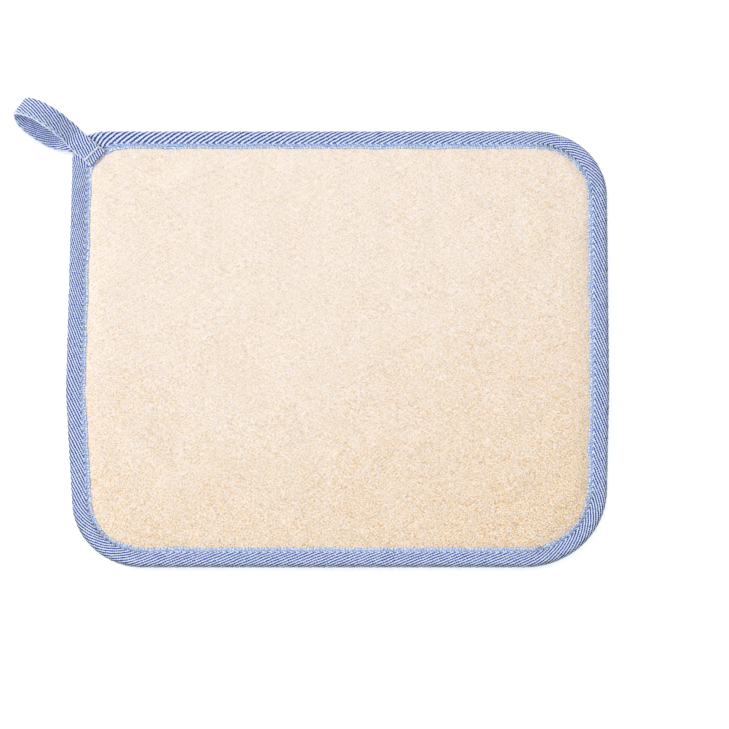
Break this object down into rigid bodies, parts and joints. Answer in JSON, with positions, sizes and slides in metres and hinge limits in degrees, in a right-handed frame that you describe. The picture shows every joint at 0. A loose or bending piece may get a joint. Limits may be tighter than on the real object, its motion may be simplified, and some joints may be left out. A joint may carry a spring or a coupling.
{
  "type": "loofah back scrubber",
  "caption": "Flat rectangular scrub pad with a woven loofah face, foam core and terry back, bound with striped twill tape, with a hanging loop hinged at one corner.",
  "frame": {"origin": "centre of the pad's underside, on the surface that the pad lies on", "axes": "+X to the right along the long side, +Y up the short side towards the loop, +Z out of the loofah face"},
  "size_m": [0.298, 0.2469, 0.0147],
  "materials": {
    "loofah_cloth": "slubbed plain weave of bast fibre, matte",
    "foam": "open-cell sponge",
    "terry": "looped cotton pile",
    "twill_tape": "blue and white twill tape",
    "thread": "spun polyester sewing thread"
  },
  "bodies": {
    "pad": {"loofah_face": "loofah_cloth", "foam_core": "foam", "terry_back": "terry", "edge_binding": "twill_tape", "binding_needle_thread": "thread", "binding_bobbin_thread": "thread", "loop_front_tab": "twill_tape", "loop_back_tab": "twill_tape", "loop_front_tack": "thread", "loop_back_tack": "thread"},
    "loop": {"hanging_loop": "twill_tape", "loop_edge_seam": "thread"}
  },
  "joints": [
    {"name": "loop_swing", "type": "hinge", "parent": "pad", "child": "loop", "pos_m": [-0.13325, 0.11076, 0.0052], "axis": [0.5446, 0.8387, 0], "range_deg": [-80, 95]}
  ]
}
